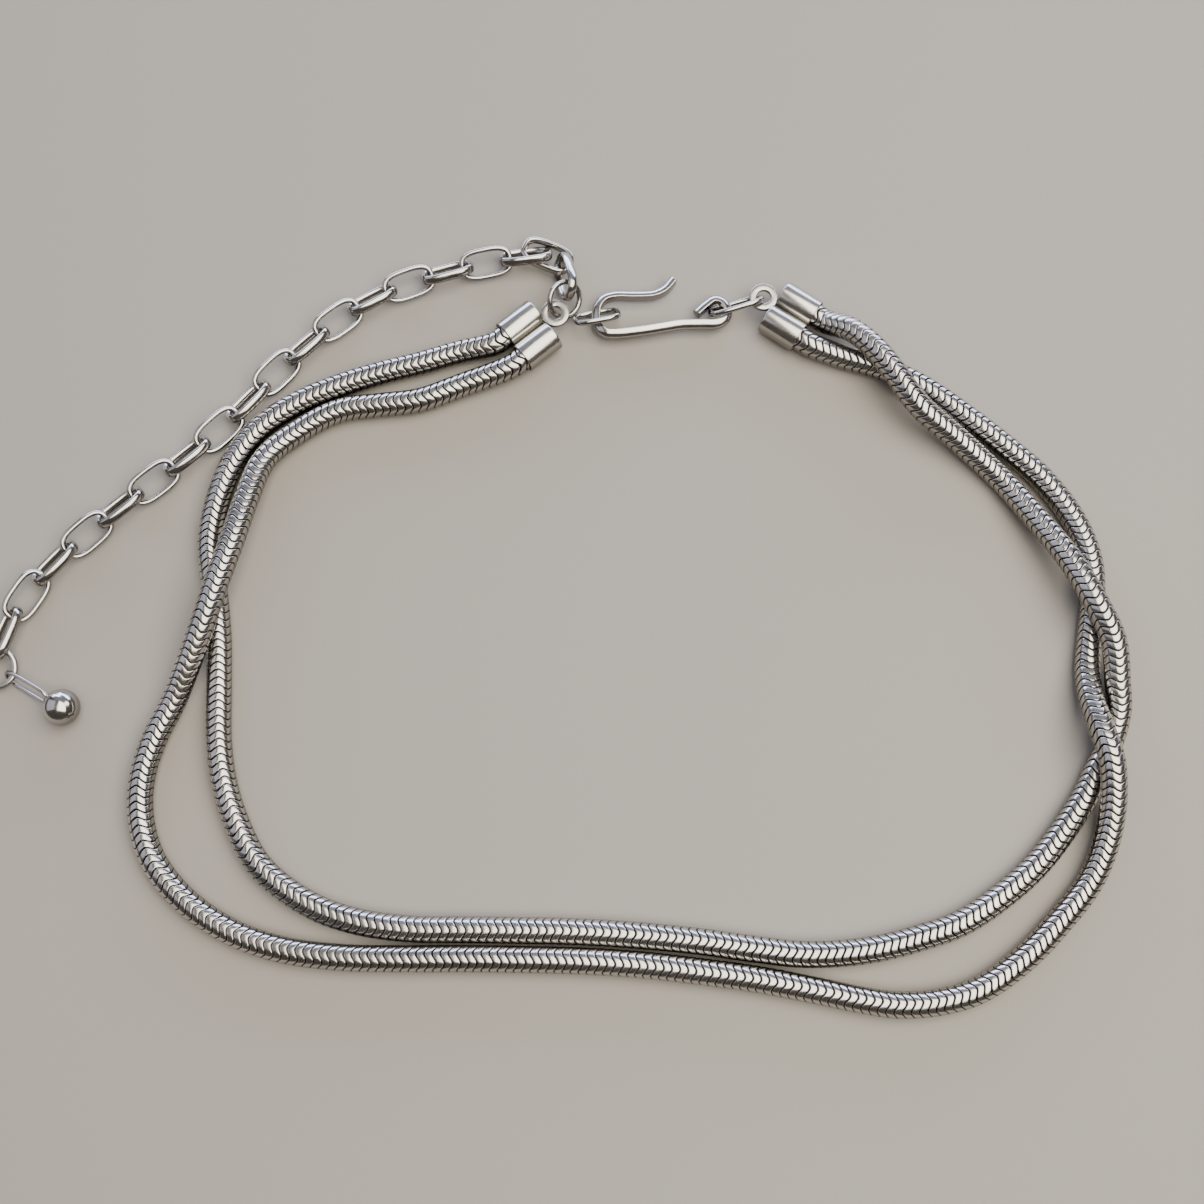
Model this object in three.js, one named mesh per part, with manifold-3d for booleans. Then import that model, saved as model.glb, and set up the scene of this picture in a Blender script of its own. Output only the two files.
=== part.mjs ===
// A double-strand snake chain choker with a hook clasp, an extension chain and a
// ball drop, fastened and lying on a flat surface. Millimetres, +Z up.
import * as THREE from "three";
import { mergeVertices } from "three/addons/utils/BufferGeometryUtils.js";
import Module from "manifold-3d";

const wasm = await Module();
wasm.setup();

// Snake chain strands. The section has flat sides all round, one of them on the surface.
const strandDiameter = 3.6;
const strandSides = 12;
const strandSteps = 78;
const strandCrossingGap = 0.2;

// End caps: two cups side by side, with a flat eye soldered between their closed ends.
const cupBoreClearance = 0.14;
const cupWall = 0.3;
const cupLength = 6.0;
const cupEndWall = 0.4;
const cupChamfer = 0.2;
const cupSolderOverlap = 0.1;
const cupSides = 24;
const strandEndClearance = 0.5;
const strandStraightRun = 1.8;
const leftCupSetBack = 0.3;
const eyeDiameter = 4.3;
const eyeHoleDiameter = 2.15;
const eyeThickness = 0.7;
const eyeSolderDepth = 0.2;
const eyeRise = 0.7;
const eyeSides = 20;

// Oval links of the extension chain.
const linkLength = 8.3;
const linkWidth = 4.9;
const linkWire = 0.85;
const linkWireDepth = 1.4;
const linkSlack = 0.48;
const linkCount = 19;
const linkCornerSlack = 2.8;
const linkSections = 16;
const linkRoundness = 0.65;
const wireSides = 6;
const flatLinkRoll = 30;
const flatLinkLift = 0.3;
const standingLinkRoll = 46;

// The plain round and oval rings of the clasp.
const jumpRingDiameter = 6.1;
const jumpRingWire = 0.8;
const jumpRingHeading = 50;
const jumpRingTilt = 47;
const jumpRingEyeAngle = 188.5;
const catchLinkLength = 7.3;
const catchLinkWidth = 5.0;
const hookLinkLength = 8.8;
const hookLinkWidth = 5.1;
const claspLinkWire = 0.7;
const claspLinkWireDepth = 0.85;
const endRingDiameter = 6.5;
const endRingWire = 0.87;
const endRingTilt = 12;
const endRingHighSide = 110;
const ringSections = 20;
const ringWireSides = 8;

// The hook, of half-round wire with its flat side inward.
const hookLength = 20.1;
const hookWidth = 6.55;
const hookWireThickness = 1.3;
const hookWireHeight = 2.0;
const hookAxisHeight = 1.9;
const hookSteps = 44;
const hookDomeSides = 6;

// The ball drop with its long wire bail.
const ballDiameter = 5.3;
const ballSections = 14;
const bailLength = 8.3;
const bailWire = 0.55;
const bailWidth = 3.0;
const bailRoll = 60;
const bailSolderDepth = 0.5;
const bailClearance = 0.3;

// Where the clasp starts on the surface, x to the right and y away from the viewer,
// and the ways that the other cap and the drop point.
const leftEye = { x: -7.1, y: 44.2, heading: 39.9 };
const rightCapHeading = 145.7;
const dropHeading = -29.8;

// Routes of the two strands, chosen by hand: x, y, and the rise of the axis as a share
// of the rise that carries one strand over the other.
const strandARoute = [
  [-21.2, 33.0, 0], [-27.3, 30.7, 0], [-33.2, 29.9, 0], [-39.2, 29.0, 0],
  [-45.0, 25.8, 0], [-49.8, 21.1, 0.2], [-51.8, 14.3, 0.62], [-53.2, 7.8, 0.94], [-54.9, 1.8, 1.03],
  [-56.5, -3.9, 0.96], [-58.5, -9.4, 0.58], [-60.8, -14.9, 0.12], [-63.4, -20.6, 0], [-64.7, -26.2, 0],
  [-64.4, -31.8, 0], [-62.3, -37.4, 0], [-57.6, -42.8, 0], [-51.1, -47.0, 0], [-44.1, -49.4, 0],
  [-35.8, -50.5, 0], [-27.6, -50.7, 0], [-19.4, -50.7, 0], [-11.2, -50.8, 0], [-3.0, -51.0, 0],
  [5.2, -51.5, 0], [13.4, -52.4, 0], [21.5, -53.5, 0], [29.6, -55.0, 0], [35.0, -56.1, 0],
  [40.4, -56.8, 0], [45.9, -56.4, 0], [51.4, -54.8, 0], [57.4, -50.9, 0], [63.1, -45.5, 0],
  [67.6, -40.1, 0.05], [69.9, -34.7, 0.34], [70.8, -29.3, 0.72], [70.6, -23.9, 1.03], [69.8, -19.7, 0.9],
  [69.2, -15.2, 0.44], [69.4, -10.5, 0.05], [70.1, -6.1, 0], [71.0, -0.2, 0], [71.1, 5.9, 0],
  [69.2, 12.0, 0], [64.8, 18.6, 0], [59.3, 23.9, 0], [53.6, 28.7, 0], [47.8, 33.0, 0],
  [41.9, 36.0, 0], [36.6, 37.6, 0],
];
const strandBRoute = [
  [-21.6, 38.4, 0], [-27.4, 36.6, 0], [-33.4, 35.0, 0], [-39.4, 33.0, 0],
  [-45.4, 30.3, 0], [-51.1, 26.1, 0], [-54.5, 21.2, 0], [-56.6, 15.0, 0], [-57.3, 8.9, 0],
  [-56.8, 4.4, 0], [-55.9, -0.2, 0], [-55.1, -6.1, 0], [-54.7, -11.9, 0], [-54.2, -20.6, 0],
  [-53.2, -26.2, 0], [-51.2, -31.8, 0], [-48.1, -37.4, 0], [-44.4, -40.9, 0], [-38.8, -44.1, 0],
  [-33.3, -45.8, 0], [-26.4, -46.7, 0], [-19.5, -46.8, 0], [-11.3, -46.9, 0], [-3.0, -47.1, 0],
  [5.2, -47.6, 0], [13.4, -48.4, 0], [21.6, -49.5, 0], [27.1, -50.1, 0], [32.5, -50.0, 0],
  [38.0, -49.3, 0], [43.6, -47.9, 0], [49.2, -46.0, 0], [54.9, -42.5, 0], [60.8, -37.5, 0],
  [67.4, -29.0, 0], [69.7, -24.8, 0], [71.7, -21.3, 0], [73.2, -16.4, 0.17], [73.0, -12.3, 0.5],
  [72.4, -6.8, 0.9], [70.0, -1.1, 1.05], [67.2, 5.0, 0.85], [63.4, 11.5, 0.42], [58.8, 18.3, 0.05],
  [52.9, 23.7, 0.37], [46.9, 28.4, 0.86], [42.7, 34.4, 1.05], [40.0, 38.1, 0.98], [37.2, 41.1, 0.66],
];

// Route of the extension chain from its corner, chosen by hand. It goes on past the end
// ring, for a chain of longer links.
const chainRoute = [
  [-8.4, 54.4], [-11.9, 54.1], [-17.6, 53.1], [-23.3, 51.6], [-29.3, 49.7], [-35.0, 47.0], [-40.2, 43.5],
  [-44.9, 39.2], [-49.2, 34.8], [-53.3, 30.0], [-57.5, 25.5], [-62.1, 21.3], [-66.9, 17.2], [-71.6, 13.2],
  [-76.1, 9.0], [-80.0, 5.0], [-83.2, 0.7], [-85.6, -4.4], [-86.9, -10.1], [-86.9, -20.0], [-83.0, -38.0],
  [-76.0, -52.0],
];

// How the links that hang loosely lie: the way to their middle from the middle of what
// they hang on, in shares of their length, and how they are turned in degrees. For the
// clasp also the way on to what their far side holds.
const catchLinkPose = {
  offset: [0.664, -0.311, -0.163], heading: 12.4, rise: -1.7, roll: -49.2, far: [-0.022, 0.049],
};
const hookLinkPose = {
  offset: [0.135, 0.147, 0.063], heading: 15.3, rise: 7.2, roll: -57.8, far: [0.47, 0.124],
};
const cornerLinkPoses = [
  { offset: [0.005, 0.475, -0.04], heading: 103, rise: -19.6, roll: -64.6 },
  { offset: [-0.337, 0.965, -0.181], heading: -22.6, rise: -3, roll: -5.3 },
];

// Centre line of the hook, as shares of its length and its width, from the tip round
// the open bend and back to the cut end of the curled eye.
const hookRoute = [
  [0.59, 0.9], [0.525, 0.66], [0.445, 0.53], [0.295, 0.5], [0.145, 0.5], [0.06, 0.415], [0.012, 0.22],
  [0, -0.03], [0.017, -0.29], [0.066, -0.47], [0.145, -0.5], [0.33, -0.44], [0.485, -0.36],
  [0.635, -0.28], [0.79, -0.265], [0.91, -0.25], [0.98, -0.12], [1.0, 0.1], [0.965, 0.32],
  [0.9, 0.39], [0.83, 0.25], [0.755, 0.03],
];

// How finely a route is measured, and how near two corners of a mesh count as one.
const routeSamples = 3000;
const weldDistance = 1e-4;

const radians = THREE.MathUtils.degToRad;
const degrees = THREE.MathUtils.radToDeg;

// Sizes that follow from the driving ones.
const strandRadius = strandDiameter / 2;
const strandCorner = strandRadius / Math.cos(Math.PI / strandSides);
const cupBore = 2 * (strandCorner + cupBoreClearance);
const cupRadius = cupBore / 2 + cupWall;
const cupSpacing = 2 * cupRadius - cupSolderOverlap;
const eyeReach = eyeDiameter / 2 - eyeSolderDepth;
const eyeHeight = cupRadius + eyeRise;
const endRingRadius = (endRingDiameter - endRingWire) / 2;
const jumpRingRadius = (jumpRingDiameter - jumpRingWire) / 2;
const linkHalfWidth = (linkWidth - linkWire) / 2;
const linkPitch = linkLength - 2 * linkWire - linkSlack;

const silver = new THREE.MeshStandardMaterial({ color: 0xc9c7c2, roughness: 0.25, metalness: 1 });
const chainSilver = new THREE.MeshStandardMaterial({ color: 0xaaa8a6, roughness: 0.35, metalness: 1 });

// A curve whose sections stay upright, and which never dips below a given height.
class UprightCurve extends THREE.CatmullRomCurve3 {
  lowest = 0;

  getPoint(t, target = new THREE.Vector3()) {
    const point = super.getPoint(t, target);
    point.z = Math.max(point.z, this.lowest);
    return point;
  }

  computeFrenetFrames(segments) {
    const frames = { tangents: [], normals: [], binormals: [] };
    const up = new THREE.Vector3(0, 0, 1);
    for (let i = 0; i <= segments; i++) {
      const tangent = this.getTangentAt(i / segments);
      const normal = new THREE.Vector3().crossVectors(up, tangent).normalize();
      frames.tangents.push(tangent);
      frames.normals.push(normal);
      frames.binormals.push(new THREE.Vector3().crossVectors(tangent, normal));
    }
    return frames;
  }
}

// A closed oval in the XY plane with fully rounded ends and slightly bowed sides.
class OvalCurve extends THREE.Curve {
  constructor(halfLength, halfWidth) {
    super();
    this.halfLength = halfLength;
    this.halfWidth = halfWidth;
  }

  getPoint(t, target = new THREE.Vector3()) {
    const angle = 2 * Math.PI * t;
    const round = (value) => Math.sign(value) * Math.abs(value) ** linkRoundness;
    return target.set(this.halfLength * round(Math.cos(angle)), this.halfWidth * round(Math.sin(angle)), 0);
  }
}

// Positions and faces alone, with shared vertices merged.
function bare(geometry) {
  const plain = geometry.clone();
  plain.deleteAttribute("normal");
  plain.deleteAttribute("uv");
  return mergeVertices(plain, weldDistance);
}

function toSolid(geometry) {
  const merged = bare(geometry);
  const mesh = new wasm.Mesh({
    numProp: 3,
    vertProperties: new Float32Array(merged.attributes.position.array),
    triVerts: new Uint32Array(merged.index.array),
  });
  return new wasm.Manifold(mesh);
}

function fromSolid(solid) {
  const mesh = solid.getMesh();
  const geometry = new THREE.BufferGeometry();
  geometry.setAttribute("position", new THREE.BufferAttribute(new Float32Array(mesh.vertProperties), 3));
  geometry.setIndex(new THREE.BufferAttribute(new Uint32Array(mesh.triVerts), 1));
  geometry.computeVertexNormals();
  return geometry;
}

function named(name, geometry, material) {
  const mesh = new THREE.Mesh(geometry, material);
  mesh.name = name;
  return mesh;
}

// Turns a piece whose long axis is X: heading about Z, then rise of the X end, then roll.
function turn(object, heading, rise, roll) {
  object.rotation.order = "ZYX";
  object.rotation.set(radians(roll), -radians(rise), radians(heading));
}

function step(place, heading, distance) {
  return {
    x: place.x + distance * Math.cos(radians(heading)),
    y: place.y + distance * Math.sin(radians(heading)),
  };
}

// One cup along +X from its mouth at the origin, closed at the far end.
function cupGeometry() {
  const facet = 1 / Math.cos(Math.PI / cupSides);
  const outer = cupRadius * facet;
  const inner = (cupBore / 2) * facet;
  const profile = [
    [0, 0], [outer - cupChamfer, 0], [outer, cupChamfer], [outer, cupLength],
    [inner, cupLength], [inner, cupEndWall], [0, cupEndWall],
  ];
  const cup = new THREE.LatheGeometry(profile.map(([r, y]) => new THREE.Vector2(r, y)), cupSides);
  cup.rotateY(Math.PI / cupSides);
  cup.rotateZ(Math.PI / 2);
  cup.translate(cupLength, 0, 0);
  return cup;
}

// How far a cup's closed end lies from the middle of the eye. The cup on the side away
// from the chain may be set back.
function cupReach(place, side) {
  return eyeReach + (side < 0 ? place.setBack : 0);
}

// An end cap, with its origin at the middle of the eye and its cups opening to -X.
function endCap(name, place) {
  const cups = [-1, 1].map((side) => {
    const cup = cupGeometry();
    cup.translate(-(cupReach(place, side) + cupLength), (side * cupSpacing) / 2, cupRadius);
    return toSolid(cup);
  });
  const disc = (diameter, thickness) => {
    const geometry = new THREE.CylinderGeometry(diameter / 2, diameter / 2, thickness, eyeSides);
    geometry.rotateX(Math.PI / 2);
    geometry.translate(0, 0, eyeHeight);
    return toSolid(geometry);
  };
  const plate = disc(eyeDiameter, eyeThickness);
  const bore = disc(eyeHoleDiameter, 2 * eyeThickness);
  const solid = cups[0].add(cups[1]).add(plate).subtract(bore);
  const mesh = named(name, fromSolid(solid), silver);
  mesh.position.set(place.x, place.y, 0);
  turn(mesh, place.heading, 0, 0);
  return mesh;
}

// Where a strand lies inside its cup, from its end to a little way out of the mouth.
function strandInCup(place, side) {
  const back = place.heading + 180;
  const onAxis = (distance) => {
    const middle = step(place, back, distance);
    return step(middle, place.heading + 90, (side * cupSpacing) / 2);
  };
  const end = cupReach(place, side) + cupEndWall + strandEndClearance;
  const mouth = cupReach(place, side) + cupLength;
  return [end, (end + mouth) / 2, mouth, mouth + strandStraightRun].map(onAxis);
}

// A strand from the left cap to the right cap. Its middle follows its route, raised
// where it passes over the other strand.
function strand(name, route, leftEye, leftSide, rightEye, rightSide) {
  const crossingRise = 2 * strandRadius + strandCrossingGap;
  const inCup = (place, side) => strandInCup(place, side).map((p) => new THREE.Vector3(p.x, p.y, cupRadius));
  const free = route.map(([x, y, share]) => new THREE.Vector3(x, y, strandRadius + share * crossingRise));
  const points = [...inCup(leftEye, leftSide), ...free, ...inCup(rightEye, rightSide).reverse()];
  const section = new THREE.Shape();
  for (let i = 0; i < strandSides; i++) {
    const angle = (2 * Math.PI * (i + 0.5)) / strandSides;
    const method = i === 0 ? "moveTo" : "lineTo";
    section[method](strandCorner * Math.cos(angle), strandCorner * Math.sin(angle));
  }
  section.closePath();
  const path = new UprightCurve(points, false, "centripetal");
  path.lowest = strandRadius;
  path.arcLengthDivisions = routeSamples;
  const geometry = new THREE.ExtrudeGeometry(section, { steps: strandSteps, extrudePath: path });
  return named(name, geometry, chainSilver);
}

// A closed oval link in its own plane, long axis along X.
function linkGeometry(length, width, wire, depth) {
  const path = new OvalCurve((length - wire) / 2, (width - wire) / 2);
  const geometry = new THREE.TubeGeometry(path, linkSections, wire / 2, wireSides, true);
  geometry.scale(1, 1, depth / wire);
  return geometry;
}

// Height at which a rolled link rests on the surface.
function restingHeight(halfWidth, wire, depth, roll) {
  const tilt = radians(roll);
  const section = Math.hypot((wire / 2) * Math.sin(tilt), (depth / 2) * Math.cos(tilt));
  return halfWidth * Math.abs(Math.sin(tilt)) + section;
}

// A link that hangs loosely on a holder, placed from the middle of that holder.
function looseLink(name, geometry, length, holder, pose) {
  const mesh = named(name, geometry, silver);
  mesh.position.copy(holder).addScaledVector(new THREE.Vector3(...pose.offset), length);
  turn(mesh, pose.heading, pose.rise, pose.roll);
  return mesh;
}

// The place of what the far side of a loose link holds.
function heldBy(mesh, length, pose) {
  const [along, across] = pose.far;
  return { x: mesh.position.x + along * length, y: mesh.position.y + across * length };
}

// The jump ring passes down through the left eye and holds the chain and the catch link.
function jumpRing() {
  const mesh = named("jump_ring", new THREE.TorusGeometry(jumpRingRadius, jumpRingWire / 2,
    ringWireSides, ringSections), silver);
  turn(mesh, jumpRingHeading, 0, jumpRingTilt);
  const atEye = ringPoint(mesh, jumpRingRadius, jumpRingEyeAngle);
  mesh.position.set(leftEye.x, leftEye.y, eyeHeight).sub(atEye);
  return mesh;
}

// A point on the centre line of a ring mesh, at an angle round it.
function ringPoint(mesh, radius, angle) {
  const point = new THREE.Vector3(radius * Math.cos(radians(angle)), radius * Math.sin(radians(angle)), 0);
  return point.applyEuler(mesh.rotation).add(mesh.position);
}

// The hook, lying level, with its open bend at a given place.
function hook(bend) {
  const points = hookRoute.map(([along, across]) => new THREE.Vector3(
    bend.x + along * hookLength, bend.y + across * hookWidth, hookAxisHeight));
  const half = hookWireHeight / 2;
  const flat = -hookWireThickness / 2;
  const section = new THREE.Shape();
  section.moveTo(flat, -half);
  for (let i = 1; i < hookDomeSides; i++) {
    const angle = Math.PI * (i / hookDomeSides - 0.5);
    section.lineTo(flat + hookWireThickness * Math.cos(angle), half * Math.sin(angle));
  }
  section.lineTo(flat, half);
  section.closePath();
  const path = new UprightCurve(points.reverse(), false, "centripetal");
  const geometry = new THREE.ExtrudeGeometry(section, { steps: hookSteps, extrudePath: path });
  return named("hook", geometry, silver);
}

// Places along a route, each at its own straight reach from the place before.
function placesAlong(route, reaches) {
  const samples = new THREE.CatmullRomCurve3(route, false, "centripetal").getSpacedPoints(routeSamples);
  const places = [];
  let last = route[0];
  let before = samples[0];
  for (const sample of samples) {
    const reach = reaches[places.length];
    if (places.length < reaches.length && sample.distanceTo(last) >= reach) {
      const short = reach - before.distanceTo(last);
      last = before.clone().lerp(sample, short / (sample.distanceTo(last) - before.distanceTo(last)));
      places.push(last);
    }
    before = sample;
  }
  return places;
}

// The extension chain: two links hang loosely on the jump ring, and the others follow the
// route and lie on one side and flat in turn. The end ring comes last.
function extensionChain(ring) {
  const geometry = linkGeometry(linkLength, linkWidth, linkWire, linkWireDepth);
  const linkName = (i) => `extension_link_${String(i + 1).padStart(2, "0")}`;
  const corner = cornerLinkPoses.map((pose, i) => (
    looseLink(linkName(i), geometry, linkLength, ring.position, pose)));
  const start = corner[corner.length - 1].position;
  const [startX, startY] = chainRoute[0];
  const route = chainRoute.map(([x, y]) => new THREE.Vector3(start.x + x - startX, start.y + y - startY, 0));
  const onRoute = linkCount - corner.length;
  const toRing = endRingRadius + (linkLength - endRingWire) / 2 - linkWire - linkSlack;
  const reaches = [linkPitch - linkCornerSlack, ...Array(onRoute - 1).fill(linkPitch), toRing];
  const places = placesAlong(route, reaches);
  const links = places.slice(0, onRoute).map((place, i) => {
    const before = i === 0 ? start : places[i - 1];
    const ahead = places[i + 1];
    const flat = i % 2 === 1;
    const roll = flat ? -flatLinkRoll : standingLinkRoll;
    const height = restingHeight(linkHalfWidth, linkWire, linkWireDepth, roll) + (flat ? flatLinkLift : 0);
    const mesh = named(linkName(corner.length + i), geometry, silver);
    mesh.position.set(place.x, place.y, height);
    turn(mesh, degrees(Math.atan2(ahead.y - before.y, ahead.x - before.x)), 0, roll);
    return mesh;
  });
  return [...corner, ...links, endRing(places[onRoute])];
}

function endRing(place) {
  const mesh = named("end_ring", new THREE.TorusGeometry(endRingRadius, endRingWire / 2,
    ringWireSides, ringSections), silver);
  turn(mesh, endRingHighSide, endRingTilt, 0);
  const height = bailWire + bailClearance + endRingWire / 2 + endRingRadius * Math.sin(radians(endRingTilt));
  mesh.position.set(place.x, place.y, height);
  return mesh;
}

// The ball with its bail, which passes round the wire of the end ring. The ball lies on
// the surface as far out as its bail lets it.
function drop(ring) {
  const held = ringPoint(ring, endRingRadius, dropHeading - endRingHighSide);
  const pastRing = endRingWire / 2 + bailClearance + bailWire;
  const reach = bailLength - pastRing + ballDiameter / 2 - bailSolderDepth;
  const level = Math.sqrt(reach ** 2 - (ballDiameter / 2 - held.z) ** 2);
  const lies = step(held, dropHeading, level);
  const ballCentre = new THREE.Vector3(lies.x, lies.y, ballDiameter / 2);
  const direction = new THREE.Vector3().subVectors(ballCentre, held).normalize();
  const bail = new THREE.Mesh(linkGeometry(bailLength, bailWidth, bailWire, bailWire));
  bail.position.copy(direction).multiplyScalar(bailLength / 2 - pastRing - reach);
  turn(bail, dropHeading, degrees(Math.asin(direction.z)), bailRoll);
  bail.updateMatrix();
  const wire = bail.geometry.applyMatrix4(bail.matrix);
  const ball = new THREE.SphereGeometry(ballDiameter / 2, 2 * ballSections, ballSections);
  const mesh = named("drop", fromSolid(toSolid(ball).add(toSolid(wire))), silver);
  mesh.position.copy(ballCentre);
  return mesh;
}

// The clasp in a row, from the left cap's eye to the right cap's eye: each piece is placed
// from the one that holds it.
const claspLinkGeometry = (length, width) => linkGeometry(length, width, claspLinkWire, claspLinkWireDepth);
const ring = jumpRing();
const catchLink = looseLink("catch_link", claspLinkGeometry(catchLinkLength, catchLinkWidth),
  catchLinkLength, ring.position, catchLinkPose);
const bend = heldBy(catchLink, catchLinkLength, catchLinkPose);
const curl = new THREE.Vector3(bend.x + hookLength, bend.y, hookAxisHeight);
const hookLink = looseLink("hook_link", claspLinkGeometry(hookLinkLength, hookLinkWidth),
  hookLinkLength, curl, hookLinkPose);
const rightEye = heldBy(hookLink, hookLinkLength, hookLinkPose);
const leftEyePlace = { ...leftEye, setBack: leftCupSetBack };
const rightEyePlace = { ...rightEye, heading: rightCapHeading, setBack: 0 };
const chain = extensionChain(ring);

const choker = new THREE.Group();
choker.add(
  strand("strand_a", strandARoute, leftEyePlace, -1, rightEyePlace, 1),
  strand("strand_b", strandBRoute, leftEyePlace, 1, rightEyePlace, -1),
  endCap("left_end_cap", leftEyePlace),
  endCap("right_end_cap", rightEyePlace),
  ring,
  catchLink,
  hook(bend),
  hookLink,
  ...chain,
  drop(chain[chain.length - 1]),
);

// The origin is the middle of the whole piece, on the surface that it lies on.
choker.updateMatrixWorld(true);
const extent = new THREE.Box3().setFromObject(choker, true);
const middle = extent.getCenter(new THREE.Vector3());
choker.position.set(-middle.x, -middle.y, 0);

export default choker;
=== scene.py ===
"""Looks of a choker of two snake chain strands with a hook clasp and an extension chain.

Everything is in metres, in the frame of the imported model. The routes are in millimetres
and are scaled as they are read, because they are the same lists as in the part's source.
"""
import math

import bpy
import numpy as np
from mathutils import Euler, Matrix, Vector


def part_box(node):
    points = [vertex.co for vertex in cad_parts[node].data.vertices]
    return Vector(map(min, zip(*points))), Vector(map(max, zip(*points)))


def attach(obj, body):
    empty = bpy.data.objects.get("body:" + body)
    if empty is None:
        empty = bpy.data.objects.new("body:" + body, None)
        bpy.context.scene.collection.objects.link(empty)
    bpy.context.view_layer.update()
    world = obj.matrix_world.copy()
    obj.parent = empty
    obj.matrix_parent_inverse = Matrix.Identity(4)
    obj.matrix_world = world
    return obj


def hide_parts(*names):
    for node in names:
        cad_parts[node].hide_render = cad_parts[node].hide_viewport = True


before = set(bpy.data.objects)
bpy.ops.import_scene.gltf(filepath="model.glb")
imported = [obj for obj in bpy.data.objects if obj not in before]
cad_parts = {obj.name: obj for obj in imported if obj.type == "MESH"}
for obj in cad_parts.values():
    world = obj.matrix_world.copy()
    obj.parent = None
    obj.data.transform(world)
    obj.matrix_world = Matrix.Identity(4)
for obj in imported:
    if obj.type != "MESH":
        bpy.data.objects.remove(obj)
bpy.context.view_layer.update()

MM = 0.001

# Sizes that the solids have too.
STRAND_RADIUS = 1.8 * MM
STRAND_SIDES = 12
CROSSING_GAP = 0.2 * MM
BORE_CLEARANCE = 0.14 * MM
CUP_WALL = 0.3 * MM
CUP_LENGTH = 6.0 * MM
CUP_END_WALL = 0.4 * MM
CUP_SOLDER = 0.1 * MM
STRAND_END_CLEARANCE = 0.5 * MM
STRAND_STRAIGHT = 1.8 * MM
LEFT_CUP_SET_BACK = 0.3 * MM
EYE_RADIUS = 2.15 * MM
EYE_HOLE = 1.075 * MM
EYE_THICKNESS = 0.7 * MM
EYE_SOLDER = 0.2 * MM
EYE_RISE = 0.7 * MM
LINK = (8.3 * MM, 4.9 * MM, 0.85 * MM, 1.4 * MM)
CATCH_LINK = (7.3 * MM, 5.0 * MM, 0.7 * MM, 0.85 * MM)
HOOK_LINK = (8.8 * MM, 5.1 * MM, 0.7 * MM, 0.85 * MM)
LINK_ROUNDNESS = 0.65
LINK_COUNT = 19
JUMP_RING = (6.1 * MM, 0.8 * MM)
END_RING = (6.5 * MM, 0.87 * MM)
END_RING_TILT = 12
END_RING_HIGH_SIDE = 110
HOOK_LENGTH = 20.1 * MM
HOOK_WIDTH = 6.55 * MM
HOOK_THICKNESS = 1.3 * MM
HOOK_HEIGHT = 2.0 * MM
HOOK_AXIS = 1.9 * MM
BALL_RADIUS = 2.65 * MM
BAIL_WIRE = 0.55 * MM
BAIL_WIDTH = 3.0 * MM
BAIL_ROLL = 60
BAIL_SOLDER = 0.5 * MM
BAIL_CLEARANCE = 0.3 * MM
DROP_HEADING = -29.8

# Places before the shift that brings the middle of the necklace to the origin.
LEFT_EYE = (-7.1 * MM, 44.2 * MM, 39.9)
RIGHT_EYE = (24.491 * MM, 46.851 * MM, 145.7)
HOOK_PLACE = (-0.933 * MM, 44.466 * MM)
JUMP_RING_PLACE = (-5.62 * MM, 46.379 * MM)

STRAND_A_ROUTE = [
    [-21.2, 33.0, 0], [-27.3, 30.7, 0], [-33.2, 29.9, 0], [-39.2, 29.0, 0],
    [-45.0, 25.8, 0], [-49.8, 21.1, 0.2], [-51.8, 14.3, 0.62], [-53.2, 7.8, 0.94], [-54.9, 1.8, 1.03],
    [-56.5, -3.9, 0.96], [-58.5, -9.4, 0.58], [-60.8, -14.9, 0.12], [-63.4, -20.6, 0], [-64.7, -26.2, 0],
    [-64.4, -31.8, 0], [-62.3, -37.4, 0], [-57.6, -42.8, 0], [-51.1, -47.0, 0], [-44.1, -49.4, 0],
    [-35.8, -50.5, 0], [-27.6, -50.7, 0], [-19.4, -50.7, 0], [-11.2, -50.8, 0], [-3.0, -51.0, 0],
    [5.2, -51.5, 0], [13.4, -52.4, 0], [21.5, -53.5, 0], [29.6, -55.0, 0], [35.0, -56.1, 0],
    [40.4, -56.8, 0], [45.9, -56.4, 0], [51.4, -54.8, 0], [57.4, -50.9, 0], [63.1, -45.5, 0],
    [67.6, -40.1, 0.05], [69.9, -34.7, 0.34], [70.8, -29.3, 0.72], [70.6, -23.9, 1.03], [69.8, -19.7, 0.9],
    [69.2, -15.2, 0.44], [69.4, -10.5, 0.05], [70.1, -6.1, 0], [71.0, -0.2, 0], [71.1, 5.9, 0],
    [69.2, 12.0, 0], [64.8, 18.6, 0], [59.3, 23.9, 0], [53.6, 28.7, 0], [47.8, 33.0, 0],
    [41.9, 36.0, 0], [36.6, 37.6, 0],
]
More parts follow.
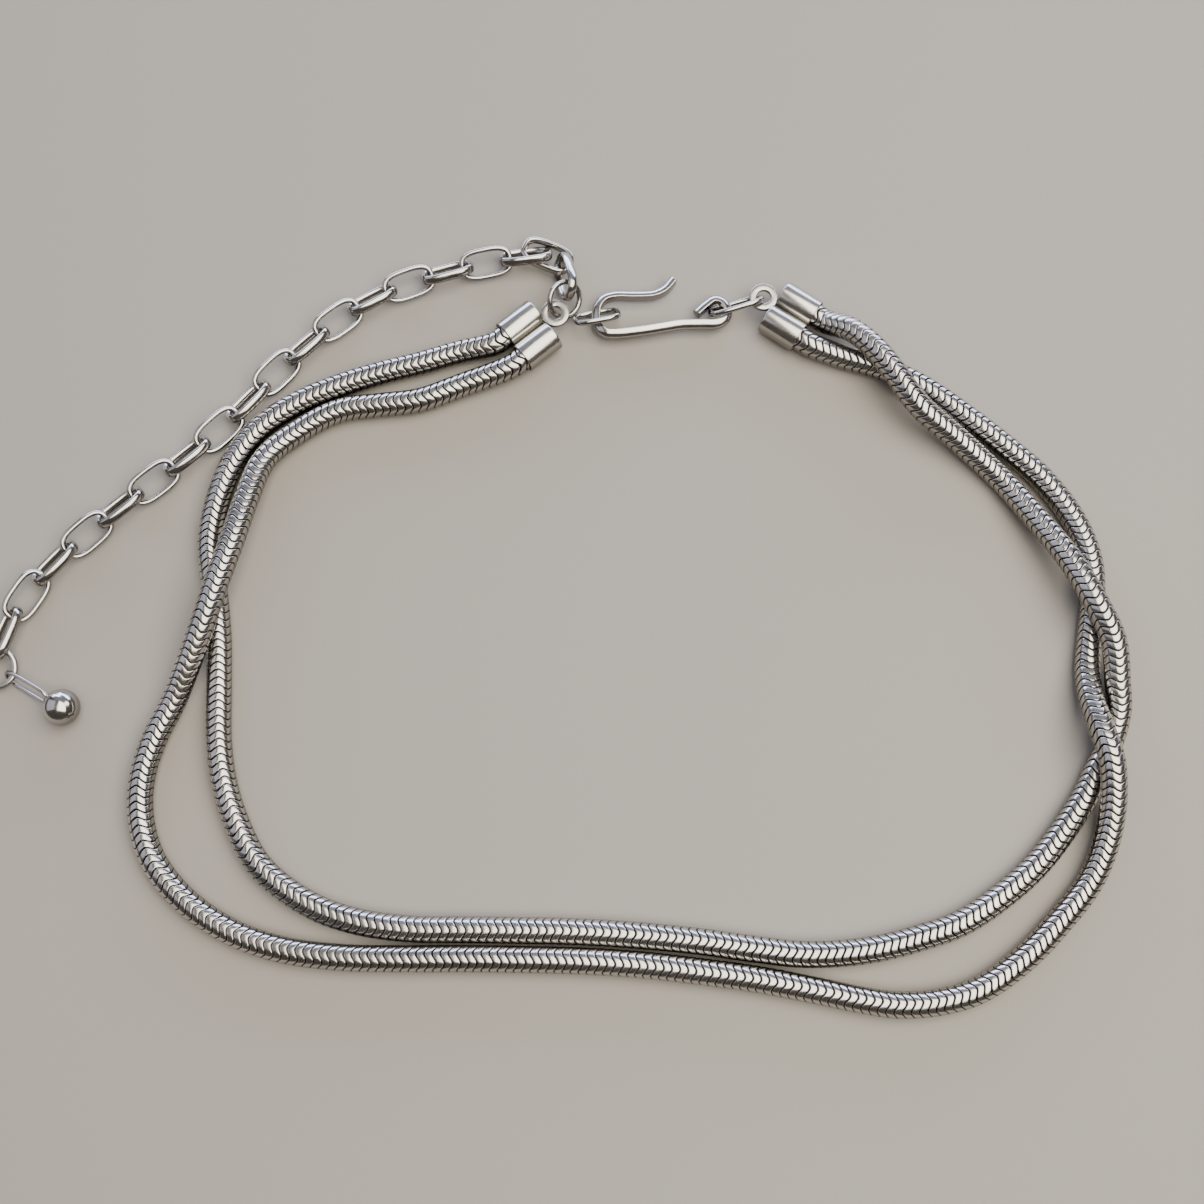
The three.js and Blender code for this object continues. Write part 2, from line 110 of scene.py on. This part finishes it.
STRAND_B_ROUTE = [
    [-21.6, 38.4, 0], [-27.4, 36.6, 0], [-33.4, 35.0, 0], [-39.4, 33.0, 0],
    [-45.4, 30.3, 0], [-51.1, 26.1, 0], [-54.5, 21.2, 0], [-56.6, 15.0, 0], [-57.3, 8.9, 0],
    [-56.8, 4.4, 0], [-55.9, -0.2, 0], [-55.1, -6.1, 0], [-54.7, -11.9, 0], [-54.2, -20.6, 0],
    [-53.2, -26.2, 0], [-51.2, -31.8, 0], [-48.1, -37.4, 0], [-44.4, -40.9, 0], [-38.8, -44.1, 0],
    [-33.3, -45.8, 0], [-26.4, -46.7, 0], [-19.5, -46.8, 0], [-11.3, -46.9, 0], [-3.0, -47.1, 0],
    [5.2, -47.6, 0], [13.4, -48.4, 0], [21.6, -49.5, 0], [27.1, -50.1, 0], [32.5, -50.0, 0],
    [38.0, -49.3, 0], [43.6, -47.9, 0], [49.2, -46.0, 0], [54.9, -42.5, 0], [60.8, -37.5, 0],
    [67.4, -29.0, 0], [69.7, -24.8, 0], [71.7, -21.3, 0], [73.2, -16.4, 0.17], [73.0, -12.3, 0.5],
    [72.4, -6.8, 0.9], [70.0, -1.1, 1.05], [67.2, 5.0, 0.85], [63.4, 11.5, 0.42], [58.8, 18.3, 0.05],
    [52.9, 23.7, 0.37], [46.9, 28.4, 0.86], [42.7, 34.4, 1.05], [40.0, 38.1, 0.98], [37.2, 41.1, 0.66],
]
HOOK_ROUTE = [
    [0.59, 0.9], [0.525, 0.66], [0.445, 0.53], [0.295, 0.5], [0.145, 0.5], [0.06, 0.415], [0.012, 0.22],
    [0, -0.03], [0.017, -0.29], [0.066, -0.47], [0.145, -0.5], [0.33, -0.44], [0.485, -0.36],
    [0.635, -0.28], [0.79, -0.265], [0.91, -0.25], [0.98, -0.12], [1.0, 0.1], [0.965, 0.32],
    [0.9, 0.39], [0.83, 0.25], [0.755, 0.03],
]

# The surface of the snake chain: overlapping plates with a wavy edge.
PLATE_PITCH = 1.1 * MM
PLATE_WAVES = 4
PLATE_WAVE_HEIGHT = 0.62 * MM
PLATE_AROUND = 40
PLATE_TWIST = 9.0
PLATE_GROOVE = 0.24 * MM
PLATE_PROFILE = [
    (0.0, -PLATE_GROOVE), (0.08, -0.07 * MM), (0.13, -0.01 * MM), (0.19, 0.0), (0.79, -0.005 * MM),
    (0.86, -0.02 * MM), (0.92, -0.08 * MM),
]
PLATE_TOP = STRAND_RADIUS + 0.03 * MM
SAMPLES_PER_PLATE = 4
WAVE_SHARPNESS = 0.8
PHASE_A = 0.2
PHASE_B = 0.55

# Roundings and fineness of the other pieces.
CUP_END_ROUNDING = 0.28 * MM
CUP_LIP_ROUNDING = 0.1 * MM
CUP_BORE_ROUNDING = 0.08 * MM
CUP_AXIS_HOLE = 0.02 * MM
CUP_AROUND = 56
EYE_ROUNDING = 0.16 * MM
EYE_AROUND = 48
WIRE_ROUNDNESS = 0.8
WIRE_AROUND = 16
OVAL_SAMPLES = 720
OVAL_SECTIONS = 72
RING_SECTIONS = 96
SAME_POINT_DIGITS = 7
HOOK_SAMPLES = 600
HOOK_SECTIONS = 220
HOOK_END_RINGS = 6
HOOK_END_LENGTH = 0.15 * MM
HOOK_END_SHARE = 0.8
HOOK_ROUND_SIDES = 15
HOOK_EDGE_ROUNDING = 0.12 * MM
BAIL_AROUND = 12
BALL_RINGS = 33
BALL_AROUND = 64
BALL_POLE_HOLE = 0.004 * MM
BALL_LEAN = (0.3, 0.5, 0.7)
SEAM_DEPTH = 0.06 * MM
SEAM_HALF_ANGLE = 0.03

# The looks of the metals. A stop is a position on a ramp and its colour.
FINE_STREAK_SCALE = 900
FINE_STREAK_DETAIL = 4
BROAD_STREAK_SCALE = 90
STREAK_RELIEF = 0.02 * MM
DULL_STOP = 0.3
BRIGHT_STOP = 0.7
# Darkening towards the bottoms of the snake chain's grooves: partly dark oxide in the hollows, partly
# painted shade.
GROOVE_OXIDE_AND_SHADE_STOPS = [(0.0, (0.015, 0.013, 0.012)), (0.7, (0.2, 0.19, 0.18)), (0.92, (1, 1, 1))]
# Painted shade: the base colour darkens where the surface faces sideways and down, by the Z of its normal.
UNDERSIDE_SHADE_STOPS = [(0.15, (0.36, 0.345, 0.33)), (0.68, (1, 1, 1))]


def smooth_route(points, per_segment=24):
    """Centripetal Catmull-Rom curve through points, with its ends extended straight."""
    p = np.vstack([2 * points[0] - points[1], points, 2 * points[-1] - points[-2]])
    t = np.linspace(0, 1, per_segment, endpoint=False)[:, None]
    out = []
    for p0, p1, p2, p3 in zip(p, p[1:], p[2:], p[3:]):
        d0, d1, d2 = (np.sqrt(np.linalg.norm(b - a)) for a, b in ((p0, p1), (p1, p2), (p2, p3)))
        v1 = ((p1 - p0) / d0 - (p2 - p0) / (d0 + d1) + (p2 - p1) / d1) * d1
        v2 = ((p2 - p1) / d1 - (p3 - p1) / (d1 + d2) + (p3 - p2) / d2) * d1
        out.append(p1 + v1 * t + (3 * (p2 - p1) - 2 * v1 - v2) * t ** 2 + (2 * (p1 - p2) + v1 + v2) * t ** 3)
    out.append(points[-1][None, :])
    return np.vstack(out)


def along(line, distances):
    """Points of a line at distances along it."""
    lengths = np.concatenate([[0], np.cumsum(np.linalg.norm(np.diff(line, axis=0), axis=1))])
    return np.column_stack([np.interp(distances, lengths, line[:, k]) for k in range(3)])


def line_length(line):
    return float(np.linalg.norm(np.diff(line, axis=0), axis=1).sum())


def upright_frames(line):
    """Tangents, sideways directions and upward directions along a line."""
    tangent = np.gradient(line, axis=0)
    tangent /= np.linalg.norm(tangent, axis=1)[:, None]
    side = np.cross([0.0, 0.0, 1.0], tangent)
    side /= np.linalg.norm(side, axis=1)[:, None]
    return tangent, side, np.cross(tangent, side)


def tube_faces(rings, around, closed=False):
    """Quads between successive rings of vertices."""
    i = np.arange(rings if closed else rings - 1)[:, None]
    j = np.arange(around)[None, :]
    here, ahead = i * around, ((i + 1) % rings) * around
    following = (j + 1) % around
    return np.stack([here + j, here + following, ahead + following, ahead + j], axis=-1).reshape(-1, 4)


def piece(name, vertices, faces, material, ends=()):
    """A smooth mesh object from arrays, with one face over each of the given end rings."""
    quads = [list(map(int, q)) for q in faces]
    vertices = [tuple(map(float, v)) for v in vertices]
    quads += [list(map(int, ring)) for ring in ends]
    mesh = bpy.data.meshes.new(name)
    mesh.from_pydata(vertices, [], quads)
    mesh.update()
    mesh.polygons.foreach_set("use_smooth", [True] * len(mesh.polygons))
    mesh.materials.append(material)
    obj = bpy.data.objects.new(name, mesh)
    bpy.context.scene.collection.objects.link(obj)
    return obj


def stands_for(obj, slot, *nodes):
    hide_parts(*nodes)
    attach(obj, "root")


def node_of(material, kind, **values):
    made = material.node_tree.nodes.new(kind)
    for key, value in values.items():
        setattr(made, key, value)
    return made


def ramp(material, stops):
    made = node_of(material, "ShaderNodeValToRGB")
    band = made.color_ramp
    while len(band.elements) < len(stops):
        band.elements.new(0.5)
    for element, (position, colour) in zip(band.elements, stops):
        element.position = position
        element.color = (*colour, 1)
    return made


def multiplied(material, colour, factor):
    mix = node_of(material, "ShaderNodeMix", data_type="RGBA", blend_type="MULTIPLY")
    mix.inputs[0].default_value = 1.0
    material.node_tree.links.new(colour, mix.inputs[6])
    material.node_tree.links.new(factor, mix.inputs[7])
    return mix.outputs[2]


def metal(name, bright, dull, roughness, spread, bump, attribute=None):
    """Polished metal with faint streaks, with painted shade darkening the flanks that face sideways and
    down, and darker where an attribute says so: the snake chain's grooves, partly oxide and partly painted
    shade.
    """
    material = bpy.data.materials.new(name)
    material.use_nodes = True
    shader = material.node_tree.nodes["Principled BSDF"]
    link = material.node_tree.links.new
    shader.inputs["Metallic"].default_value = 1.0
    place = node_of(material, "ShaderNodeTexCoord")
    fine = node_of(material, "ShaderNodeTexNoise")
    fine.inputs["Scale"].default_value = FINE_STREAK_SCALE
    fine.inputs["Detail"].default_value = FINE_STREAK_DETAIL
    broad = node_of(material, "ShaderNodeTexNoise")
    broad.inputs["Scale"].default_value = BROAD_STREAK_SCALE
    for noise in (fine, broad):
        link(place.outputs["Object"], noise.inputs["Vector"])
    tint = ramp(material, [(DULL_STOP, dull), (BRIGHT_STOP, bright)])
    link(broad.outputs["Fac"], tint.inputs["Fac"])
    colour = tint.outputs["Color"]
    if attribute:
        # Partly oxide, partly painted shade: the colour darkens towards the bottoms of the grooves between
        # plates.
        depth = node_of(material, "ShaderNodeAttribute", attribute_name=attribute)
        groove_oxide_and_shade = ramp(material, GROOVE_OXIDE_AND_SHADE_STOPS)
        link(depth.outputs["Fac"], groove_oxide_and_shade.inputs["Fac"])
        colour = multiplied(material, colour, groove_oxide_and_shade.outputs["Color"])
    # Painted shade down the flanks: the colour darkens as the normal turns away from straight up.
    surface = node_of(material, "ShaderNodeNewGeometry")
    facing = node_of(material, "ShaderNodeSeparateXYZ")
    underside_shade = ramp(material, UNDERSIDE_SHADE_STOPS)
    link(surface.outputs["Normal"], facing.inputs["Vector"])
    link(facing.outputs["Z"], underside_shade.inputs["Fac"])
    colour = multiplied(material, colour, underside_shade.outputs["Color"])
    link(colour, shader.inputs["Base Color"])
    rough = node_of(material, "ShaderNodeMapRange")
    rough.inputs["To Min"].default_value = roughness
    rough.inputs["To Max"].default_value = roughness + spread
    link(fine.outputs["Fac"], rough.inputs["Value"])
    link(rough.outputs["Result"], shader.inputs["Roughness"])
    relief = node_of(material, "ShaderNodeBump")
    relief.inputs["Strength"].default_value = bump
    relief.inputs["Distance"].default_value = STREAK_RELIEF
    link(fine.outputs["Fac"], relief.inputs["Height"])
    link(relief.outputs["Normal"], shader.inputs["Normal"])
    return material


snake_metal = metal(
    "SnakeChain", bright=(0.72, 0.7, 0.68), dull=(0.6, 0.59, 0.58),
    roughness=0.15, spread=0.14, bump=0.1, attribute="height",
)
cap_metal = metal(
    "PolishedCap", bright=(0.76, 0.745, 0.71), dull=(0.66, 0.65, 0.62),
    roughness=0.17, spread=0.12, bump=0.08,
)
wire_metal = metal(
    "PolishedWire", bright=(0.72, 0.71, 0.69), dull=(0.6, 0.59, 0.585),
    roughness=0.12, spread=0.12, bump=0.08,
)


def box_middle(node):
    low, high = (np.array(corner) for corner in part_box(node))
    return (low + high) / 2


# The solids are shifted so that the whole necklace is centred: the jump ring shows by how much.
SHIFT = np.append(box_middle("jump_ring")[:2] - JUMP_RING_PLACE, 0.0)


def shifted(points):
    return np.asarray(points, float) + SHIFT


def step(place, heading, distance):
    angle = math.radians(heading)
    return (place[0] + distance * math.cos(angle), place[1] + distance * math.sin(angle))


# Strands.
STRAND_CORNER = STRAND_RADIUS / math.cos(math.pi / STRAND_SIDES)
BORE_RADIUS = STRAND_CORNER + BORE_CLEARANCE
CUP_RADIUS = BORE_RADIUS + CUP_WALL
CUP_SPACING = 2 * CUP_RADIUS - CUP_SOLDER
EYE_REACH = EYE_RADIUS - EYE_SOLDER
EYE_HEIGHT = CUP_RADIUS + EYE_RISE


def cup_reach(eye, side):
    """How far a cup's closed end lies from the eye: one cup of the left cap is set back."""
    set_back = LEFT_CUP_SET_BACK if eye is LEFT_EYE and side < 0 else 0
    return EYE_REACH + set_back


def strand_in_cup(eye, side):
    end = cup_reach(eye, side) + CUP_END_WALL + STRAND_END_CLEARANCE
    mouth = cup_reach(eye, side) + CUP_LENGTH
    places = []
    for distance in (end, (end + mouth) / 2, mouth, mouth + STRAND_STRAIGHT):
        middle = step(eye, eye[2] + 180, distance)
        places.append((*step(middle, eye[2] + 90, side * CUP_SPACING / 2), CUP_RADIUS))
    return places


def strand_line(route, left_side, right_side):
    rise = 2 * STRAND_RADIUS + CROSSING_GAP
    free = [(x * MM, y * MM, STRAND_RADIUS + share * rise) for x, y, share in route]
    points = strand_in_cup(LEFT_EYE, left_side) + free + strand_in_cup(RIGHT_EYE, right_side)[::-1]
    line = shifted(smooth_route(np.array(points)))
    line[:, 2] = np.maximum(line[:, 2], STRAND_RADIUS)
    return line


def wave(angle):
    """A rounded zigzag between -1 and 1."""
    return np.arcsin(WAVE_SHARPNESS * np.sin(angle)) / math.asin(WAVE_SHARPNESS)


def snake_strand(name, node, line, phase):
    """Wavy plates one pitch apart, each rising from the dark bottom between two plates to a bright lip; the
    material darkens those grooves, partly as oxide and partly as painted shade.
    """
    count = int(line_length(line) / PLATE_PITCH)
    pitch = line_length(line) / count
    shares = np.array([u for u, _ in PLATE_PROFILE])
    depths = np.array([d for _, d in PLATE_PROFILE])
    stations = (np.arange(count)[:, None] + shares[None, :]).ravel() * pitch
    sunk = np.tile(depths, count)
    dense = along(line, np.arange(0, line_length(line), pitch / SAMPLES_PER_PLATE))
    _, side, up = upright_frames(dense)
    where = np.arange(len(dense)) * pitch / SAMPLES_PER_PLATE
    angle = 2 * np.pi * np.arange(PLATE_AROUND) / PLATE_AROUND
    turned = angle[None, :] + phase + PLATE_TWIST * stations[:, None]
    reach = np.clip(stations[:, None] + wave(PLATE_WAVES * turned) * PLATE_WAVE_HEIGHT / 2, 0, where[-1])
    radius = PLATE_TOP + sunk
    centre, sides, ups = (
        np.stack([np.interp(reach, where, field[:, k]) for k in range(3)], axis=-1)
        for field in (dense, side, up)
    )
    vertices = centre + radius[:, None, None] * (
        np.cos(angle)[None, :, None] * sides + np.sin(angle)[None, :, None] * ups)
    rings = len(stations)
    faces = tube_faces(rings, PLATE_AROUND)
    first = np.arange(PLATE_AROUND)
    ends = [first[::-1], first + (rings - 1) * PLATE_AROUND]
    obj = piece(name, vertices.reshape(-1, 3), faces, snake_metal, ends)
    # This level darkens the grooves between plates in the material: partly oxide, partly painted shade.
    height = obj.data.attributes.new("height", "FLOAT", "POINT")
    level = 1 + np.repeat(sunk, PLATE_AROUND) / PLATE_GROOVE
    height.data.foreach_set("value", level.astype(np.float32))
    stands_for(obj, "snake_chain", node)


snake_strand("StrandA", "strand_a", strand_line(STRAND_A_ROUTE, -1, 1), PHASE_A)
snake_strand("StrandB", "strand_b", strand_line(STRAND_B_ROUTE, 1, -1), PHASE_B)


# End caps.
def lathe(profile, around):
    """A closed profile of (distance along X, radius) turned about X."""
    angle = 2 * np.pi * np.arange(around) / around
    rings = [np.column_stack([np.full(around, x), r * np.cos(angle), r * np.sin(angle)]) for x, r in profile]
    return np.vstack(rings), tube_faces(len(profile), around)


def rounded(corner_in, corner, corner_out, radius, steps=5):
    """Points of an arc-like bend at a corner between two neighbours."""
    a, b, c = (np.array(p, float) for p in (corner_in, corner, corner_out))
    start = b + (a - b) / np.linalg.norm(a - b) * radius
    end = b + (c - b) / np.linalg.norm(c - b) * radius
    t = np.linspace(0, 1, steps)[:, None]
    return list(map(tuple, (1 - t) ** 2 * start + 2 * t * (1 - t) * b + t ** 2 * end))


def joined(parts):
    """Vertices and faces of several meshes as one."""
    vertices, faces, offset = [], [], 0
    for points, quads in parts:
        vertices.append(points)
        faces.append(np.asarray(quads) + offset)
        offset += len(points)
    return np.vstack(vertices), np.vstack(faces)


def end_cap(name, node, eye):
    """Two cups side by side and the flat eye between their closed ends, as one mesh."""
    far, mouth = 0.0, -CUP_LENGTH
    outline = [(far, CUP_AXIS_HOLE)]
    outline += rounded((far, 0), (far, CUP_RADIUS), (mouth, CUP_RADIUS), CUP_END_ROUNDING)
    outline += rounded((far, CUP_RADIUS), (mouth, CUP_RADIUS), (mouth, BORE_RADIUS), CUP_LIP_ROUNDING)
    outline += rounded((mouth, CUP_RADIUS), (mouth, BORE_RADIUS), (far, BORE_RADIUS), CUP_BORE_ROUNDING)
    inner = far - CUP_END_WALL
    outline += [(inner, BORE_RADIUS), (inner, CUP_AXIS_HOLE)]
    points, faces = lathe(outline, CUP_AROUND)
    parts = []
    for side in (-1, 1):
        place = np.array([-cup_reach(eye, side), side * CUP_SPACING / 2, CUP_RADIUS])
        parts.append((points + place, faces))
    half = EYE_THICKNESS / 2
    washer = []
    corners = [(half, EYE_HOLE), (half, EYE_RADIUS), (-half, EYE_RADIUS), (-half, EYE_HOLE)]
    for before, corner, after in zip(corners[-1:] + corners, corners, corners[1:] + corners[:1]):
        washer += rounded(before, corner, after, EYE_ROUNDING, steps=4)
    ring, ring_faces = lathe(washer + [washer[0]], EYE_AROUND)
    parts.append((np.column_stack([ring[:, 2], ring[:, 1], ring[:, 0] + EYE_HEIGHT]), ring_faces[:, ::-1]))
    vertices, quads = joined(parts)
    turn = np.array(Matrix.Rotation(math.radians(eye[2]), 3, "Z"))
    placed = vertices @ turn.T + np.array([eye[0], eye[1], 0])
    obj = piece(name, shifted(placed), quads, cap_metal)
    stands_for(obj, "polished_metal", node)


end_cap("LeftEndCap", "left_end_cap", LEFT_EYE)
end_cap("RightEndCap", "right_end_cap", RIGHT_EYE)


# Rings and links, each in the place of its solid.
def solid_axes(node):
    """Middle of a solid, and its longest, middle and shortest directions as rows."""
    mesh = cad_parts[node].data
    points = np.empty(len(mesh.vertices) * 3)
    mesh.vertices.foreach_get("co", points)
    points = np.unique(np.round(points.reshape(-1, 3), SAME_POINT_DIGITS), axis=0)
    middle = points.mean(axis=0)
    _, _, rows = np.linalg.svd(points - middle, full_matrices=False)
    if np.linalg.det(rows) < 0:
        rows[2] *= -1
    return middle, rows


def bowed(value, power):
    """A sine or cosine bent towards a rounded rectangle."""
    return np.sign(value) * np.abs(value) ** power


def closed_tube(path, thickness, depth, around=WIRE_AROUND):
    """A closed tube round a flat path: thickness in the plane, depth across it."""
    tangent = np.roll(path, -1, axis=0) - np.roll(path, 1, axis=0)
    tangent /= np.linalg.norm(tangent, axis=1)[:, None]
    out = np.column_stack([tangent[:, 1], -tangent[:, 0], np.zeros(len(path))])
    angle = 2 * np.pi * np.arange(around) / around
    flat = bowed(np.cos(angle), WIRE_ROUNDNESS) * thickness / 2
    tall = bowed(np.sin(angle), WIRE_ROUNDNESS) * depth / 2
    upward = np.array([0, 0, 1.0])
    rings = path[:, None, :] + flat[None, :, None] * out[:, None, :] + tall[None, :, None] * upward
    return rings.reshape(-1, 3), tube_faces(len(path), around, closed=True)


def oval(length, width):
    """A closed oval path, sampled finely and then thinned to evenly spaced points."""
    angle = 2 * np.pi * np.arange(OVAL_SAMPLES) / OVAL_SAMPLES
    x = length / 2 * bowed(np.cos(angle), LINK_ROUNDNESS)
    y = width / 2 * bowed(np.sin(angle), LINK_ROUNDNESS)
    path = np.column_stack([x, y, 0 * angle])
    closed = np.vstack([path, path[:1]])
    even = along(closed, np.linspace(0, line_length(closed), OVAL_SAMPLES, endpoint=False))
    return even[::OVAL_SAMPLES // OVAL_SECTIONS]


def wire_piece(name, node, path, thickness, depth):
    """A closed tube laid in the place of a flat solid."""
    middle, rows = solid_axes(node)
    points, faces = closed_tube(path, thickness, depth)
    obj = piece(name, points @ rows + middle, faces, wire_metal)
    stands_for(obj, "polished_metal", node)


def link_piece(name, node, sizes):
    length, width, wire, depth = sizes
    wire_piece(name, node, oval(length - wire, width - wire), wire, depth)


def ring_piece(name, node, sizes):
    diameter, wire = sizes
    angle = 2 * np.pi * np.arange(RING_SECTIONS) / RING_SECTIONS
    radius = (diameter - wire) / 2
    path = np.column_stack([radius * np.cos(angle), radius * np.sin(angle), 0 * angle])
    wire_piece(name, node, path, wire, wire)


for number in range(1, LINK_COUNT + 1):
    link_piece(f"ExtensionLink{number:02d}", f"extension_link_{number:02d}", LINK)
link_piece("CatchLink", "catch_link", CATCH_LINK)
link_piece("HookLink", "hook_link", HOOK_LINK)
ring_piece("JumpRing", "jump_ring", JUMP_RING)
ring_piece("EndRing", "end_ring", END_RING)


# Hook.
def hook_piece():
    """Half-round wire along the hook's route, with its two ends rounded over."""
    points = [
        (HOOK_PLACE[0] + u * HOOK_LENGTH, HOOK_PLACE[1] + v * HOOK_WIDTH, HOOK_AXIS)
        for u, v in HOOK_ROUTE
    ]
    line = shifted(smooth_route(np.array(points[::-1])))
    total = line_length(line)
    inset = HOOK_END_LENGTH
    ease = inset * (1 - np.cos(np.linspace(0, np.pi / 2, HOOK_END_RINGS)))
    between = np.linspace(inset, total - inset, HOOK_SECTIONS)[1:-1]
    stations = np.concatenate([ease, between, total - ease[::-1]])
    centre = along(line, stations)
    where = np.linspace(0, total, HOOK_SAMPLES)
    _, side, _ = upright_frames(along(line, where))
    sides = np.column_stack([np.interp(stations, where, side[:, k]) for k in range(3)])
    edge = np.minimum(stations, total - stations)
    fullness = np.sqrt(1 - (1 - np.clip(edge / inset, 0, 1)) ** 2)
    shrink = fullness * (1 - HOOK_END_SHARE) + HOOK_END_SHARE
    half, flat = HOOK_HEIGHT / 2, -HOOK_THICKNESS / 2
    section = [
        (flat + HOOK_THICKNESS * math.cos(a), half * math.sin(a))
        for a in np.linspace(-math.pi / 2, math.pi / 2, HOOK_ROUND_SIDES)[1:-1]
    ]
    section = rounded((flat, 0), (flat, -half), section[0], HOOK_EDGE_ROUNDING, steps=4) + section
    section += rounded(section[-1], (flat, half), (flat, 0), HOOK_EDGE_ROUNDING, steps=4)
    section = np.array(section)
    rings = centre[:, None, :] + shrink[:, None, None] * (
        section[None, :, :1] * sides[:, None, :] + section[None, :, 1:] * np.array([0, 0, 1.0]))
    around = len(section)
    first = np.arange(around)
    ends = [first[::-1], first + (len(stations) - 1) * around]
    obj = piece("Hook", rings.reshape(-1, 3), tube_faces(len(stations), around), wire_metal, ends)
    stands_for(obj, "polished_metal", "hook")


hook_piece()


# Drop.
def drop_piece():
    """The ball with its seam, and the bail from the ball to the end ring, as one mesh."""
    low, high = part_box("drop")
    ball = np.array([high[0] - BALL_RADIUS, low[1] + BALL_RADIUS, BALL_RADIUS])
    ring_radius = (END_RING[0] - END_RING[1]) / 2
    on_ring = math.radians(DROP_HEADING - END_RING_HIGH_SIDE)
    turn = Euler((0, -math.radians(END_RING_TILT), math.radians(END_RING_HIGH_SIDE)), "XYZ").to_matrix()
    held = turn @ Vector((ring_radius * math.cos(on_ring), ring_radius * math.sin(on_ring), 0))
    held = np.array(held) + box_middle("end_ring")
    direction = (ball - held) / np.linalg.norm(ball - held)
    far = held - direction * (END_RING[1] / 2 + BAIL_CLEARANCE + BAIL_WIRE)
    near = ball + direction * (BAIL_SOLDER - BALL_RADIUS)
    length = np.linalg.norm(far - near)
    path = oval(length - BAIL_WIRE, BAIL_WIDTH - BAIL_WIRE)
    points, faces = closed_tube(path, BAIL_WIRE, BAIL_WIRE, BAIL_AROUND)
    heading = math.atan2(direction[1], direction[0])
    pose = Euler((math.radians(BAIL_ROLL), -math.asin(direction[2]), heading), "XYZ")
    points = points @ np.array(pose.to_matrix()).T + (far + near) / 2
    angle = np.linspace(0, math.pi, BALL_RINGS)
    seam = SEAM_DEPTH * np.exp(-((angle - math.pi / 2) / SEAM_HALF_ANGLE) ** 2)
    profile = [
        (-math.cos(a) * BALL_RADIUS, max(math.sin(a) * BALL_RADIUS - s, BALL_POLE_HOLE))
        for a, s in zip(angle, seam)
    ]
    sphere, sphere_faces = lathe(profile, BALL_AROUND)
    lean = Euler(BALL_LEAN, "XYZ").to_matrix()
    sphere = sphere @ np.array(lean).T + ball
    vertices, quads = joined([(points, faces), (sphere, sphere_faces[:, ::-1])])
    obj = piece("Drop", vertices, quads, wire_metal)
    stands_for(obj, "polished_metal", "drop")


drop_piece()

# Floor, light and camera. The sight line is in degrees from the vertical.
SIGHT_LINE = 14
CAMERA_DISTANCE = 219 * MM
CAMERA_LENS = 44.85
SENSOR_WIDTH = 36
CLIP_START = 10 * MM
FLOOR_REACH = 3.0
FLOOR_COLOUR = (0.43, 0.405, 0.37, 1)
FLOOR_ROUGHNESS = 0.6
STUDIO_COLOUR = (0.075, 0.065, 0.055, 1)

floor_material = bpy.data.materials.new("Floor")
floor_material.use_nodes = True
floor_shader = floor_material.node_tree.nodes["Principled BSDF"]
floor_shader.inputs["Base Color"].default_value = FLOOR_COLOUR
floor_shader.inputs["Roughness"].default_value = FLOOR_ROUGHNESS
floor_corners = [(x * FLOOR_REACH, y * FLOOR_REACH, 0) for x, y in ((-1, -1), (1, -1), (1, 1), (-1, 1))]
floor = piece("Floor", floor_corners, [[0, 1, 2, 3]], floor_material)

world = bpy.data.worlds.new("Studio")
bpy.context.scene.world = world
world.use_nodes = True
background = world.node_tree.nodes["Background"]
background.inputs["Color"].default_value = STUDIO_COLOUR
background.inputs["Strength"].default_value = 1.0


def softbox(name, place, size, colour, power):
    """An area light that faces the necklace. Place and size are in metres, power in watts."""
    data = bpy.data.lights.new(name, "AREA")
    data.shape = "RECTANGLE"
    data.size, data.size_y = size
    data.color = colour
    data.energy = power
    light = bpy.data.objects.new(name, data)
    light.location = place
    light.rotation_euler = (-Vector(place)).to_track_quat("-Z", "Y").to_euler()
    bpy.context.scene.collection.objects.link(light)


softbox("WindowLight", (0.0, 0.75, 0.19), (1.4, 0.24), (0.64, 0.72, 1.0), 7.5)
softbox("NorthLight", (0.0, 1.0, 0.8), (1.6, 0.8), (0.7, 0.76, 1.0), 0.9)
softbox("OverheadLight", (0.22, -0.03, 0.58), (0.72, 0.62), (1.0, 0.93, 0.8), 6.4)
softbox("CeilingLight", (-0.2, 0.3, 2.0), (2.4, 2.4), (1.0, 0.96, 0.9), 1.6)
softbox("WestLight", (-0.8, 0.1, 0.7), (1.0, 1.0), (0.84, 0.85, 1.0), 2.0)

camera_data = bpy.data.cameras.new("Camera")
camera_data.sensor_width = SENSOR_WIDTH
camera_data.lens = CAMERA_LENS
camera_data.clip_start = CLIP_START
camera = bpy.data.objects.new("Camera", camera_data)
tilt = math.radians(SIGHT_LINE)
camera.location = (
    SHIFT[0],
    SHIFT[1] - CAMERA_DISTANCE * math.sin(tilt),
    CAMERA_DISTANCE * math.cos(tilt),
)
camera.rotation_euler = (tilt, 0, 0)
bpy.context.scene.collection.objects.link(camera)
bpy.context.scene.camera = camera
